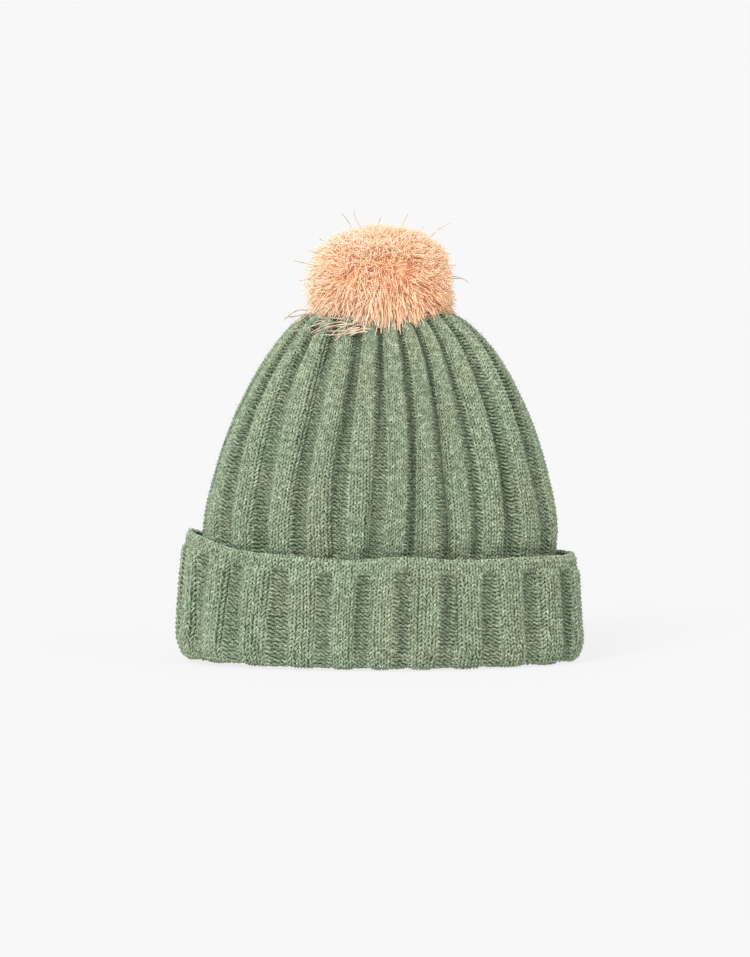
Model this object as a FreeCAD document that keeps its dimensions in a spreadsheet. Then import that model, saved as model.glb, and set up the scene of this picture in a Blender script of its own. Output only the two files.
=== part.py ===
import FreeCAD, Part
import os
import Sketcher

# Knitted pom pom beanie, opened as for a head and standing on the fold of its turn-up.
# Millimetres. +Z is up, the front faces -Y, and the origin is the middle of the fold's
# resting plane.

doc = FreeCAD.newDocument("pom_pom_beanie")
sizes = doc.addObject("Spreadsheet::Sheet", "sizes")

SIZES = (
    # knitted body: the outside of the tube above the turn-up, and its top
    ("crown_width", 198.0),
    ("crown_depth", 109.0),
    ("crown_height", 193.5),
    ("knit_wall", 5.0),
    # the band under the turn-up is wider than the crown by this much
    ("band_flare_width", 13.0),
    ("band_flare_depth", 2.0),
    # turn-up: its height, its walls at the fold and at the rim, and the fold's floor
    ("cuff_height", 62.0),
    ("cuff_fold_wall", 5.5),
    ("cuff_rim_wall", 4.2),
    ("fold_floor", 4.0),
    ("fold_gap", 1.5),
    ("floor_gap", 0.8),
    ("rim_round", 1.9),
    ("fold_round", 3.4),
    ("lip_round", 1.4),
    # gathered top: the dish that the pom sits in and the hole drawn up in its middle
    ("dish_edge", 4.0),
    ("dish_drop", 11.0),
    ("hole_radius", 5.0),
    ("gather_yarn_radius", 1.3),
    ("gather_yarn_fit", 0.1),
    # linking seam inside the back
    ("seam_width", 7.0),
    ("seam_thickness", 1.5),
    ("seam_gap", 0.1),
    ("seam_end_gap", 6.0),
    # pom pom, and the yarn that ties it on
    ("pom_width", 81.0),
    ("pom_depth", 79.0),
    ("pom_height", 51.0),
    ("pom_gap", 9.0),
    ("tie_ring_radius", 5.5),
    ("tie_yarn_radius", 2.2),
    ("tie_fit", 0.1),
    ("tie_rise", 14.0),
    ("shank_radius", 2.2),
    ("shank_gap", 2.5),
    ("knot_radius", 5.6),
    ("knot_gap", 0.6),
    ("tail_radius", 1.2),
    ("tail_length", 13.0),
    ("tail_slant", 28.0),
    # care label, sewn at its top edge to the seam
    ("label_width", 25.0),
    ("label_length", 38.0),
    ("label_thickness", 1.0),
    ("label_top", 50.0),
    ("label_gap", 0.8),
    ("stitch_radius", 0.5),
    ("stitch_length", 3.0),
    ("stitch_pitch", 5.2),
    ("stitch_gap", 0.7),
)

# The crown's outline, from the turn-up's rim to the gathered lip: the share of the rise,
# of the crown's width and of its depth.
LEVELS = (
    ("collar", 0.00, 1.000, 0.965),
    ("temple", 0.32, 0.955, 1.000),
    ("dome", 0.62, 0.822, 0.936),
    ("shoulder", 0.82, 0.670, 0.826),
    ("gather", 0.90, 0.580, 0.755),
    ("top_lip", 1.00, 0.414, 0.587),
)
STITCH_COUNT = 5


def fill_sheet():
    rows = list(SIZES)
    for level, rise, wide, deep in LEVELS:
        rows.append((level + "_rise", rise))
        rows.append((level + "_wide", wide))
        rows.append((level + "_deep", deep))
    for number, (alias, value) in enumerate(rows, start=1):
        sizes.set("A%d" % number, alias)
        sizes.set("B%d" % number, str(value))
        sizes.setAlias("B%d" % number, alias)
    doc.recompute()


def bind(item, **expressions):
    """Bind properties to expressions of the sheet; x, y and z stand for the place."""
    for name, expression in expressions.items():
        target = "Placement.Base." + name if name in ("x", "y", "z") else name
        item.setExpression(target, expression)
    return item


def add(kind, name, **expressions):
    return bind(doc.addObject("Part::" + kind, name), **expressions)


def cut(name, base, tool):
    item = doc.addObject("Part::Cut", name)
    item.Base = base
    item.Tool = tool
    return item


def fuse(name, parts):
    item = doc.addObject("Part::MultiFuse", name)
    item.Shapes = parts
    return item


def oval(name, half_width, half_depth, height):
    return add("Ellipse", name, MajorRadius=half_width, MinorRadius=half_depth, z=height)


def loft(name, sections, ruled=False):
    item = doc.addObject("Part::Loft", name)
    item.Sections = sections
    item.Solid = True
    item.Ruled = ruled
    return item


def round_edges(name, base, choices):
    """Fillet each edge of base that lies at a height and is about as wide as is said."""
    doc.recompute()
    edges = []
    for number, edge in enumerate(base.Shape.Edges, start=1):
        box = edge.BoundBox
        for height, half_width, radius in choices:
            level = abs(box.ZMin - height) < 0.01 and abs(box.ZMax - height) < 0.01
            if level and abs(box.XMax - half_width) < 0.01:
                edges.append((number, radius, radius))
    item = doc.addObject("Part::Fillet", name)
    item.Base = base
    item.Edges = edges
    return item


BAND_HALF_WIDTH = "(sizes.crown_width + sizes.band_flare_width) / 2"
BAND_HALF_DEPTH = "(sizes.crown_depth + sizes.band_flare_depth) / 2"
BAND_BOTTOM = "(sizes.fold_floor + sizes.floor_gap)"
ROOF = "(sizes.crown_height - sizes.dish_drop - sizes.knit_wall)"
DISH_FLOOR = "(sizes.crown_height - sizes.dish_drop)"
PIVOT = "(" + DISH_FLOOR + " - sizes.knit_wall / 2)"
POM_BOTTOM = "(" + DISH_FLOOR + " + sizes.pom_gap)"


def level_oval(prefix, level, inset, height=None):
    rise = "sizes.cuff_height + (sizes.crown_height - sizes.cuff_height) * sizes." + level
    return oval(
        prefix + "_" + level,
        "sizes.crown_width / 2 * sizes." + level + "_wide - " + inset,
        "sizes.crown_depth / 2 * sizes." + level + "_deep - " + inset,
        height or rise + "_rise",
    )


def tube(name, foot, levels, top):
    """Knitted tube: a straight-sided band up to the collar, and the crown above it."""
    band = loft(name + "_band", [foot, levels[0]], ruled=True)
    crown = loft(name + "_crown", levels + top)
    return fuse(name, [band, crown])


def inside_of_crown(name, inset):
    """The hollow of the knitted tube, drawn in by inset from the outside of the knit."""
    foot = oval(name + "_mouth", BAND_HALF_WIDTH + " - " + inset,
                BAND_HALF_DEPTH + " - " + inset, BAND_BOTTOM + " - 1")
    levels = [level_oval(name, level, inset) for level in ("collar", "temple", "dome", "shoulder")]
    return tube(name, foot, levels, [level_oval(name, "gather", inset, ROOF)])


def crown_shell():
    """Rib-knit tube with its inner band, closed by the gathers at the top."""
    foot = oval("band_foot", BAND_HALF_WIDTH, BAND_HALF_DEPTH, BAND_BOTTOM)
    levels = [level_oval("outside", level, "0") for level, _rise, _wide, _deep in LEVELS]
    solid = tube("outside", foot, levels, [])
    dish = add(
        "Ellipsoid", "dish", z="sizes.crown_height", Radius1="sizes.dish_drop",
        Radius2="sizes.crown_width / 2 * sizes.top_lip_wide - sizes.dish_edge",
        Radius3="sizes.crown_depth / 2 * sizes.top_lip_deep - sizes.dish_edge",
    )
    hole = add("Cylinder", "drawn_hole", Radius="sizes.hole_radius",
               Height="sizes.crown_height", z=ROOF + " - sizes.knit_wall")
    groove = add(
        "Torus", "yarn_groove", z=PIVOT,
        Radius1="sizes.hole_radius + sizes.gather_yarn_radius - sizes.gather_yarn_fit",
        Radius2="sizes.gather_yarn_radius + sizes.gather_yarn_fit",
    )
    hollow = inside_of_crown("hollow", "sizes.knit_wall")
    return cut("crown_shell", solid, fuse("crown_cutters", [dish, hole, groove, hollow]))


def turn_up_cuff():
    """The folded-up end of the tube: a wall outside the band and a floor under it."""
    pocket_width = BAND_HALF_WIDTH + " + sizes.fold_gap"
    pocket_depth = BAND_HALF_DEPTH + " + sizes.fold_gap"
    body = loft("cuff_outside", [
        oval("cuff_foot", pocket_width + " + sizes.cuff_fold_wall",
             pocket_depth + " + sizes.cuff_fold_wall", "0"),
        oval("cuff_rim", pocket_width + " + sizes.cuff_rim_wall",
             pocket_depth + " + sizes.cuff_rim_wall", "sizes.cuff_height"),
    ], ruled=True)
    pocket = loft("cuff_pocket", [
        oval("pocket_floor", pocket_width, pocket_depth, "sizes.fold_floor"),
        oval("pocket_mouth", pocket_width, pocket_depth, "sizes.cuff_height + 1"),
    ], ruled=True)
    lip_width = BAND_HALF_WIDTH + " - sizes.knit_wall"
    lip_depth = BAND_HALF_DEPTH + " - sizes.knit_wall"
    mouth = loft("cuff_mouth", [
        oval("mouth_foot", lip_width, lip_depth, "-1"),
        oval("mouth_top", lip_width, lip_depth, "sizes.fold_floor + 1"),
    ], ruled=True)
    square = cut("square_cuff", body, fuse("cuff_cutters", [pocket, mouth]))
    band = (sizes.crown_width + sizes.band_flare_width) / 2
    pocket_half = band + sizes.fold_gap
    return round_edges("turn_up_cuff", square, (
        (sizes.cuff_height, pocket_half, sizes.rim_round),
        (sizes.cuff_height, pocket_half + sizes.cuff_rim_wall, sizes.rim_round),
        (0.0, pocket_half + sizes.cuff_fold_wall, sizes.fold_round),
        (0.0, band - sizes.knit_wall, sizes.lip_round),
    ))


def back_seam():
    """Ridge of linked loops up the inside of the back."""
    near = "(sizes.knit_wall + sizes.seam_gap)"
    far = "(sizes.knit_wall + sizes.seam_gap + sizes.seam_thickness)"
    ridge = cut("seam_skin", inside_of_crown("seam_outer", near),
                inside_of_crown("seam_inner", far))
    strip = add("Box", "seam_strip", Length="sizes.seam_width", Width="sizes.crown_depth",
                Height=ROOF + " - sizes.seam_end_gap - " + BAND_BOTTOM + " - 1",
                x="-sizes.seam_width / 2", z=BAND_BOTTOM + " + 1")
    item = doc.addObject("Part::Common", "back_seam")
    item.Base = strip
    item.Tool = ridge
    return item


def gather_yarn():
    """Yarn drawn through the last course, lying in the wall of the hole."""
    return add("Torus", "gather_yarn", z=PIVOT, Radius2="sizes.gather_yarn_radius",
               Radius1="sizes.hole_radius + sizes.gather_yarn_radius - sizes.gather_yarn_fit")


def pom_tuft():
    """The ball of cut strands, hollow where its tie sits."""
    ball = add("Ellipsoid", "pom_ball", Radius1="sizes.pom_height / 2",
               Radius2="sizes.pom_width / 2", Radius3="sizes.pom_depth / 2",
               z=POM_BOTTOM + " + sizes.pom_height / 2")
    core = add(
        "Cylinder", "pom_core", z=POM_BOTTOM + " - sizes.pom_gap",
        Radius="sizes.tie_ring_radius + sizes.tie_yarn_radius + sizes.tie_fit",
        Height="sizes.pom_gap + sizes.tie_rise + sizes.tie_yarn_radius + sizes.tie_fit",
    )
    return cut("pom_tuft", ball, core)


def pom_waist_tie():
    """Yarn wound tight round the middle of the strands."""
    return add("Torus", "pom_waist_tie", Radius1="sizes.tie_ring_radius",
               Radius2="sizes.tie_yarn_radius", z=POM_BOTTOM + " + sizes.tie_rise")


def pom_shank():
    """The tie's two ends, side by side, which pass down through the drawn hole."""
    foot = ROOF + " + sizes.knot_gap"
    return add(
        "Cylinder", "pom_shank", Radius="sizes.shank_radius", z=foot,
        Height=POM_BOTTOM + " + sizes.tie_rise - sizes.tie_yarn_radius - sizes.shank_gap - ("
        + foot + ")",
    )


def anchor_knot():
    """Knot inside the crown, wider than the hole, with its two short tails."""
    middle = ROOF + " - sizes.knot_gap - sizes.knot_radius"
    knot = add("Sphere", "knot_ball", Radius="sizes.knot_radius", z=middle)
    tails = []
    for side, name in ((1, "right_tail"), (-1, "left_tail")):
        tail = add("Cylinder", name, Radius="sizes.tail_radius", Height="sizes.tail_length",
                   z=middle)
        tail.Placement.Rotation = FreeCAD.Rotation(FreeCAD.Vector(0, 1, 0), 180)
        tail.setExpression("Placement.Rotation.Angle", "180 - %d * sizes.tail_slant" % side)
        tails.append(tail)
    return fuse("anchor_knot", [knot] + tails)


LABEL_FACE = (
    "(sizes.crown_depth / 2 * sizes.collar_deep - sizes.knit_wall - sizes.seam_gap"
    " - sizes.seam_thickness - sizes.label_gap)"
)


def care_label():
    """Blank folded tape that hangs from its sewn top edge, inside the back."""
    body = doc.addObject("PartDesign::Body", "care_label")
    plane = [item for item in body.Origin.OriginFeatures if item.Role == "XZ_Plane"][0]
    outline = body.newObject("Sketcher::SketchObject", "label_outline")
    outline.AttachmentSupport = [(plane, "")]
    outline.MapMode = "FlatFace"
    half = sizes.label_width / 2
    low = sizes.label_top - sizes.label_length
    corners = [(-half, low), (half, low), (half, sizes.label_top), (-half, sizes.label_top)]
    points = [FreeCAD.Vector(across, up, 0) for across, up in corners]
    for number in range(len(points)):
        following = points[(number + 1) % len(points)]
        outline.addGeometry(Part.LineSegment(points[number], following), False)
    for number in range(len(points)):
        following = (number + 1) % len(points)
        outline.addConstraint(Sketcher.Constraint("Coincident", number, 2, following, 1))
    for side in (0, 2):
        outline.addConstraint(Sketcher.Constraint("Horizontal", side))
    for side in (1, 3):
        outline.addConstraint(Sketcher.Constraint("Vertical", side))
    measures = (
        (Sketcher.Constraint("DistanceX", -1, 1, 1, 1, half), "sizes.label_width / 2"),
        (Sketcher.Constraint("DistanceX", 0, 1, 0, 2, 2 * half), "sizes.label_width"),
        (Sketcher.Constraint("DistanceY", 1, 1, 1, 2, sizes.label_length), "sizes.label_length"),
        (Sketcher.Constraint("DistanceY", -1, 1, 1, 2, sizes.label_top), "sizes.label_top"),
    )
    for constraint, expression in measures:
        number = outline.addConstraint(constraint)
        outline.setExpression("Constraints[%d]" % number, expression)
    pad = body.newObject("PartDesign::Pad", "label_pad")
    pad.Profile = outline
    pad.setExpression("Length", "sizes.label_thickness")
    body.setExpression("Placement.Base.y", LABEL_FACE)
    return body


def label_stitches():
    """A row of stitches over the label's top edge, into the seam."""
    stitches = []
    for number in range(STITCH_COUNT):
        place = number - (STITCH_COUNT - 1) / 2
        stitch = add("Cylinder", "stitch_%d" % (number + 1), Radius="sizes.stitch_radius",
                     Height="sizes.stitch_length", x="%g * sizes.stitch_pitch" % place,
                     y=LABEL_FACE + " - sizes.stitch_length + sizes.label_gap",
                     z="sizes.label_top + sizes.stitch_gap + sizes.stitch_radius")
        stitch.Placement.Rotation = FreeCAD.Rotation(FreeCAD.Vector(1, 0, 0), -90)
        stitches.append(stitch)
    item = doc.addObject("Part::Compound", "label_stitches")
    item.Links = stitches
    return item


def write(nodes):
    doc.recompute()
    for item in doc.Objects:
        faults = [state for state in item.State if state in ("Invalid", "Error")]
        if faults:
            raise RuntimeError(item.Name + " failed: " + ", ".join(faults))
    for node in nodes:
        if node.Shape.isNull() or not node.Shape.isValid():
            raise RuntimeError(node.Label + " has no valid shape")
    os.makedirs("parts", exist_ok=True)
    for node in nodes:
        node.Shape.exportStep(os.path.join("parts", node.Label + ".step"))
        box = node.Shape.BoundBox
        print("%-16s %2d solid %9.1f mm3  x %7.2f %7.2f  y %7.2f %7.2f  z %7.2f %7.2f" % (
            node.Label, len(node.Shape.Solids), node.Shape.Volume,
            box.XMin, box.XMax, box.YMin, box.YMax, box.ZMin, box.ZMax))


fill_sheet()
write([
    crown_shell(),
    turn_up_cuff(),
    back_seam(),
    gather_yarn(),
    pom_tuft(),
    pom_waist_tie(),
    pom_shank(),
    anchor_knot(),
    care_label(),
    label_stitches(),
])
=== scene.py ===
import math
from types import SimpleNamespace

import bpy
import numpy as np
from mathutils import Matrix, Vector


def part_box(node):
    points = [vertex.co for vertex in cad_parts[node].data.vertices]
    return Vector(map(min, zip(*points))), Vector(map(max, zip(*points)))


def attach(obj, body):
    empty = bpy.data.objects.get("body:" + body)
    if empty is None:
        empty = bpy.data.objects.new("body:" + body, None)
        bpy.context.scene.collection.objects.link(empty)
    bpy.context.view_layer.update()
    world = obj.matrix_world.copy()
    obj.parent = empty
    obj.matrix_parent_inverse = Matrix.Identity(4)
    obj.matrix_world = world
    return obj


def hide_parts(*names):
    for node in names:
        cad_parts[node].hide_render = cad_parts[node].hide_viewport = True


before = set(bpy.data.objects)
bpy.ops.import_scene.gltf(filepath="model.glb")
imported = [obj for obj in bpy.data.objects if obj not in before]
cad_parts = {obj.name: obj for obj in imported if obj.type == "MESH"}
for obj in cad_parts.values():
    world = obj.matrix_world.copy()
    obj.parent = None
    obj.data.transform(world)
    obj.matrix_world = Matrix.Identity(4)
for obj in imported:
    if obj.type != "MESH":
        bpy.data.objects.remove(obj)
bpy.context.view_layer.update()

# ----------------------------------------
# Crown: a tube of heathered wool, knitted in courses of four knit wales and three purl
# wales by turns, so that it stands in ribs. Its top courses are drawn up with a yarn, and
# its lower end goes on inside the turn-up as the band.
RIBS = 22
WALES_PER_RIB = 7
KNIT_WALES = 4
WALES = RIBS * WALES_PER_RIB
COURSE = 0.0022
YARN_RADIUS = 0.00076
LOOP_STEPS = 8
LOOP_HEIGHT = 0.76 * COURSE
LOOP_SWING = 0.31 / WALES
LOOP_DEPTH = 1.15 * YARN_RADIUS
PURL_SLANT = 0.00055
NATURAL_WALE = 0.0031
# how uneven the loops are: sideways in wales, up in courses, out in metres, in thickness
LOOP_ASTRAY = 0.09
LOOP_UNEVEN = 0.12
LOOP_PROUD = 0.00008
YARN_UNEVEN = 0.10

crown_low, crown_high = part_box("crown_shell")
_, cuff_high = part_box("turn_up_cuff")
# the band widens to its foot, and its knit lies this far inside the crown's CAD face
BAND_FLARE = 0.013
BAND_FLARE_DEPTH = 0.002
BAND_INSET = 0.0041
half_wide = (crown_high.x - crown_low.x - BAND_FLARE) / 2
half_deep = (crown_high.y - crown_low.y - BAND_FLARE_DEPTH) / 2
foot = crown_low.z
rim = cuff_high.z
top = crown_high.z


def level(rise, wide, deep, inset, drop=0.0):
    """A level of the crown by shares: half-width, half-depth and height of its middle."""
    return (half_wide * wide - inset, half_deep * deep - inset, rim + (top - rim) * rise - drop)


crown_line = np.array([
    (half_wide + BAND_FLARE / 2 - BAND_INSET, half_deep + BAND_FLARE_DEPTH / 2 - BAND_INSET,
     foot + 0.0015),
    (half_wide + BAND_FLARE / 4 - BAND_INSET, half_deep * 0.985 - BAND_INSET,
     (foot + rim) / 2),
    level(0.00, 0.996, 0.945, 0.0026),
    level(0.08, 1.002, 0.968, 0.0026),
    level(0.32, 0.955, 1.000, 0.0036),
    level(0.62, 0.822, 0.936, 0.0048),
    level(0.82, 0.670, 0.826, 0.0052),
    level(0.90, 0.580, 0.755, 0.0048),
    level(0.96, 0.490, 0.670, 0.0036, 0.0008),
    level(1.00, 0.390, 0.560, 0.0, 0.0024),
    level(1.00, 0.300, 0.440, 0.0, 0.0036),
    level(1.00, 0.200, 0.320, 0.0, 0.0080),
    level(1.00, 0.120, 0.210, 0.0, 0.0112),
    level(1.00, 0.062, 0.112, 0.0, 0.0125),
])


def through(points, at):
    """Values at distances at along a smooth line through points, and how fast they change."""
    steps = np.linalg.norm(np.diff(points[:, [0, 2]], axis=0), axis=1)
    knots = np.concatenate([[0], np.cumsum(steps)])
    slopes = np.gradient(points, knots, axis=0)
    at = np.clip(at, 0, knots[-1] - 1e-9)
    i = np.clip(np.searchsorted(knots, at, side="right") - 1, 0, len(knots) - 2)
    span = (knots[i + 1] - knots[i])[..., None]
    t = ((at - knots[i]) / (knots[i + 1] - knots[i]))[..., None]
    p, q = points[i], points[i + 1]
    m, n = slopes[i] * span, slopes[i + 1] * span
    value = ((2 * t**3 - 3 * t**2 + 1) * p + (t**3 - 2 * t**2 + t) * m
             + (3 * t**2 - 2 * t**3) * q + (t**3 - t**2) * n)
    change = ((6 * t**2 - 6 * t) * p + (3 * t**2 - 4 * t + 1) * m
              + (6 * t - 6 * t**2) * q + (3 * t**2 - 2 * t) * n) / span
    return value, change


def length_of(points):
    """How far it is up a tube's wall along its levels."""
    return np.linalg.norm(np.diff(points[:, [0, 2]], axis=0), axis=1).sum()


# Turns round an oval at even distances: a table from the oval's flatness and the share
# of the way round, which starts at the back seam, to the angle.
FLATNESS = np.linspace(0.45, 1.15, 29)
ROUND = np.linspace(0, 1, 1441)
turns = []
for flat in FLATNESS:
    angle = math.pi / 2 + 2 * math.pi * ROUND
    speed = np.hypot(np.sin(angle), flat * np.cos(angle))
    gone = np.concatenate([[0], np.cumsum((speed[1:] + speed[:-1]) / 2)])
    turns.append(np.interp(ROUND, gone / gone[-1], angle))
turns = np.array(turns)


def turn(share, flat):
    """The angle at a share of the way round ovals of some flatness, from the table."""
    share = share - np.floor(share)
    row = np.clip((flat - FLATNESS[0]) / (FLATNESS[1] - FLATNESS[0]), 0, len(FLATNESS) - 1.001)
    column = share * (len(ROUND) - 1)
    r, c = row.astype(int), np.minimum(column.astype(int), len(ROUND) - 2)
    fr, fc = row - r, column - c
    return ((1 - fr) * ((1 - fc) * turns[r, c] + fc * turns[r, c + 1])
            + fr * ((1 - fc) * turns[r + 1, c] + fc * turns[r + 1, c + 1]))


def on_oval(line, share, along):
    """Points on the surface of a knitted tube, with its outward and sideways directions."""
    shape, change = through(line, along)
    wide, deep, height = shape[..., 0], shape[..., 1], shape[..., 2]
    angle = turn(share, deep / wide)
    c, s = np.cos(angle), np.sin(angle)
    point = np.stack([wide * c, deep * s, height], -1)
    side = np.stack([-wide * s, deep * c, np.zeros_like(c)], -1)
    up = np.stack([change[..., 0] * c, change[..., 1] * s, change[..., 2]], -1)
    out = np.cross(side, up)
    out /= np.linalg.norm(out, axis=-1, keepdims=True)
    side /= np.linalg.norm(side, axis=-1, keepdims=True)
    return point, out, side


def hump(share, middle, reach):
    """1 at a place round the tube, falling smoothly to 0 at reach to each side of it."""
    away = np.abs((share - middle + 0.5) % 1 - 0.5) / reach
    return np.where(away < 1, 0.5 + 0.5 * np.cos(math.pi * np.minimum(away, 1)), 0)


def gained(share, middle, reach):
    """What a hump adds up to from the back seam round to a place."""
    t = np.clip((share - middle) / reach, -1, 1)
    return reach * (0.5 * (t + 1) + np.sin(math.pi * t) / (2 * math.pi))


def ease(value, low, high):
    """0 below low, 1 above high, and a smooth climb between them."""
    t = np.clip((value - low) / (high - low), 0, 1)
    return t * t * (3 - 2 * t)


def sways(seed, size, round_waves, along_wave):
    """A smooth random wave round and along a tube, which joins up with itself."""
    draw = np.random.default_rng(seed)
    terms = [(int(draw.integers(1, round_waves + 1)), draw.uniform(-1, 1) / along_wave,
              draw.uniform(0, 2 * math.pi)) for _ in range(7)]

    def wave(along, share):
        total = 0
        for count, rate, start in terms:
            total = total + np.sin(2 * math.pi * (count * share + rate * along) + start)
        return total * size / math.sqrt(len(terms) / 2)
    return wave


RIB_SQUARENESS = 1.9
STEEPEST = 1.6


def rib_height(cloth, along, share):
    """How far the fabric stands out at a place: ribs, and the channels between them."""
    turn_of_rib = 2 * math.pi * (share * RIBS - cloth.phase + cloth.wander(along, share))
    swing = np.cos(turn_of_rib) - np.cos(math.pi * cloth.width(along, share))
    return np.tanh(RIB_SQUARENESS * swing) * cloth.relief(along, share)


def fabric(cloth, along, share):
    """The fabric's middle, its outward direction, and the width of a wale."""
    step = 1e-4
    point, out, side = on_oval(cloth.line, share + cloth.warp(along, share), along)
    ahead, _, _ = on_oval(cloth.line, share + step + cloth.warp(along, share + step), along)
    run = np.maximum(np.linalg.norm(ahead - point, axis=-1), 1e-8)
    height = rib_height(cloth, along, share)
    slope = (rib_height(cloth, along, share + step) - height) / run
    tilt = out - np.clip(slope, -STEEPEST, STEEPEST)[..., None] * side
    tilt /= np.linalg.norm(tilt, axis=-1, keepdims=True)
    return point + out * height[..., None] + cloth.drape(along, share), tilt, run / step / WALES


def knit(cloth, courses, seed):
    """Every course's yarn: its points, its thickness, and its painted shade, high in the channels
    between the ribs and in the painted shadow above the turn-up's rim.
    """
    draw = np.random.default_rng(seed)
    count = WALES * LOOP_STEPS
    t = np.arange(count) * 2 * math.pi / LOOP_STEPS
    share = (np.arange(count) / count)[None, :] + np.zeros((len(courses), 1))
    along = courses[:, None] + np.zeros(count)
    nudge = draw.normal(0, 1, (len(courses), WALES, 4)).repeat(LOOP_STEPS, 1)
    grip = (0.5 - 0.5 * np.cos(t))[None, :]
    centre = np.cos(2 * math.pi * (share * RIBS - cloth.phase))
    face = np.tanh(3.0 * (centre - math.cos(math.pi * KNIT_WALES / WALES_PER_RIB)))
    face = face + (1 - face) * cloth.plain(along)
    slant = PURL_SLANT * (0.5 - 0.5 * face)
    lift = -np.cos(t) * LOOP_HEIGHT * cloth.up - np.sin(2 * t) * slant
    place = share + np.sin(2 * t) * LOOP_SWING + nudge[..., 0] * grip * LOOP_ASTRAY / WALES
    path = along + lift + nudge[..., 1] * grip * COURSE * LOOP_UNEVEN
    point, tilt, wale = fabric(cloth, path, place)
    snug = np.clip(wale / NATURAL_WALE, 0.35, 1.0)
    depth = -np.cos(2 * t) * LOOP_DEPTH * face * snug + nudge[..., 2] * grip * LOOP_PROUD
    thick = snug * (1 + YARN_UNEVEN * nudge[..., 3] * grip)
    # painted shade: the yarn is marked to be coloured darker in the channels between the ribs,
    # and just above the turn-up's rim
    valley = ease(centre, -0.1, -0.8) * (1 - cloth.plain(along))
    valley = np.maximum(valley, cloth.pressed(along))
    return point + tilt * depth[..., None], np.clip(thick, 0.25, 1.35), valley


class Wire:
    """A socket of a material or a geometry tree, which Python's operators work on."""

    def __init__(self, tree, socket=None):
        self.tree = tree
        self.socket = socket

    def node(self, kind, settings=None, inputs=None, output=0):
        node = self.tree.nodes.new(kind)
        for key, value in (settings or {}).items():
            if key == "stops":
                ramp = node.color_ramp.elements
                while len(ramp) < len(value):
                    ramp.new(0.5)
                for stop, (place, colour) in zip(ramp, value):
                    stop.position = place
                    stop.color = (*colour, 1)
            else:
                setattr(node, key, value)
        for key, value in (inputs or {}).items():
            if isinstance(value, Wire):
                self.tree.links.new(value.socket, node.inputs[key])
            else:
                node.inputs[key].default_value = value
        return Wire(self.tree, node.outputs[output])

    def maths(self, operation, first, second):
        return self.node("ShaderNodeMath", {"operation": operation}, {0: first, 1: second})

    def __add__(self, other):
        return self.maths("ADD", self, other)

    __radd__ = __add__

    def __mul__(self, other):
        return self.maths("MULTIPLY", self, other)

    __rmul__ = __mul__

    def __sub__(self, other):
        return self.maths("SUBTRACT", self, other)

    def __rsub__(self, other):
        return self.maths("SUBTRACT", other, self)


def geometry_tree(name, **kinds):
    """A new geometry tree, and a Wire for each of its inputs by name."""
    tree = bpy.data.node_groups.new(name, "GeometryNodeTree")
    tree.interface.new_socket("Geometry", in_out="INPUT", socket_type="NodeSocketGeometry")
    for label, kind in kinds.items():
        tree.interface.new_socket(label, in_out="INPUT", socket_type="NodeSocket" + kind)
    tree.interface.new_socket("Geometry", in_out="OUTPUT", socket_type="NodeSocketGeometry")
    entry = tree.nodes.new("NodeGroupInput")
    return tree, {item.name: Wire(tree, item) for item in entry.outputs if item.name}


def close_tree(tree, geometry, material):
    """End a tree in plain geometry that has its material."""
    plain = geometry.node("GeometryNodeRealizeInstances", {}, {"Geometry": geometry})
    soft = geometry.node("GeometryNodeSetShadeSmooth", {}, {"Geometry": plain})
    worn = geometry.node("GeometryNodeSetMaterial", {}, {"Geometry": soft, "Material": material})
    leave = tree.nodes.new("NodeGroupOutput")
    tree.links.new(worn.socket, leave.inputs["Geometry"])


def grow(name, source, tree, **values):
    """Run a tree on a mesh, and keep the result as the plain mesh of a new piece."""
    piece = bpy.data.objects.new(name, source)
    bpy.context.scene.collection.objects.link(piece)
    modifier = piece.modifiers.new(tree.name, "NODES")
    modifier.node_group = tree
    for item in tree.interface.items_tree:
        if item.in_out == "INPUT" and item.name in values:
            modifier[item.identifier] = values[item.name]
    graph = bpy.context.evaluated_depsgraph_get()
    mesh = bpy.data.meshes.new_from_object(piece.evaluated_get(graph), depsgraph=graph)
    piece.modifiers.clear()
    piece.data = mesh
    bpy.data.meshes.remove(source)
    return piece


spin_yarn, given = geometry_tree("spun_yarn", Radius="Float", Sides="Int", Material="Material")
lines = given["Geometry"].node("GeometryNodeMeshToCurve", {}, {"Mesh": given["Geometry"]})
thick = lines.node("GeometryNodeInputNamedAttribute", {"data_type": "FLOAT"}, {"Name": "thick"})
ring = lines.node("GeometryNodeCurvePrimitiveCircle", {},
                  {"Radius": 1.0, "Resolution": given["Sides"]})
tube = lines.node("GeometryNodeCurveToMesh", {}, {
    "Curve": lines, "Profile Curve": ring, "Scale": given["Radius"] * thick, "Fill Caps": True})
close_tree(spin_yarn, tube, given["Material"])


def wrap(mesh, strands, count, sides, columns):
    """A map laid out by strand, so that a pattern can be kept on every bit of a yarn."""
    loops = np.empty(len(mesh.loops), np.int32)
    mesh.loops.foreach_get("vertex_index", loops)
    first = np.empty(len(mesh.polygons), np.int32)
    mesh.polygons.foreach_get("loop_start", first)
    total = np.diff(np.append(first, len(loops)))
    strand, rest = loops // (count * sides), loops % (count * sides)
    step, side = rest // sides, rest % sides
    for value, size in ((step, count), (side, sides)):
        spread = np.maximum.reduceat(value, first) - np.minimum.reduceat(value, first)
        wraps = np.repeat(spread, total) > size / 2
        value[wraps & (value == 0)] = size
    rows = math.ceil(strands / columns)
    u = (strand % columns + step / count) / columns
    v = (strand // columns + side / sides) / rows
    layer = mesh.uv_layers.new(name="OFBake")
    layer.uv.foreach_set("vector", np.stack([u, v], -1).astype(np.float32).ravel())


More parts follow.
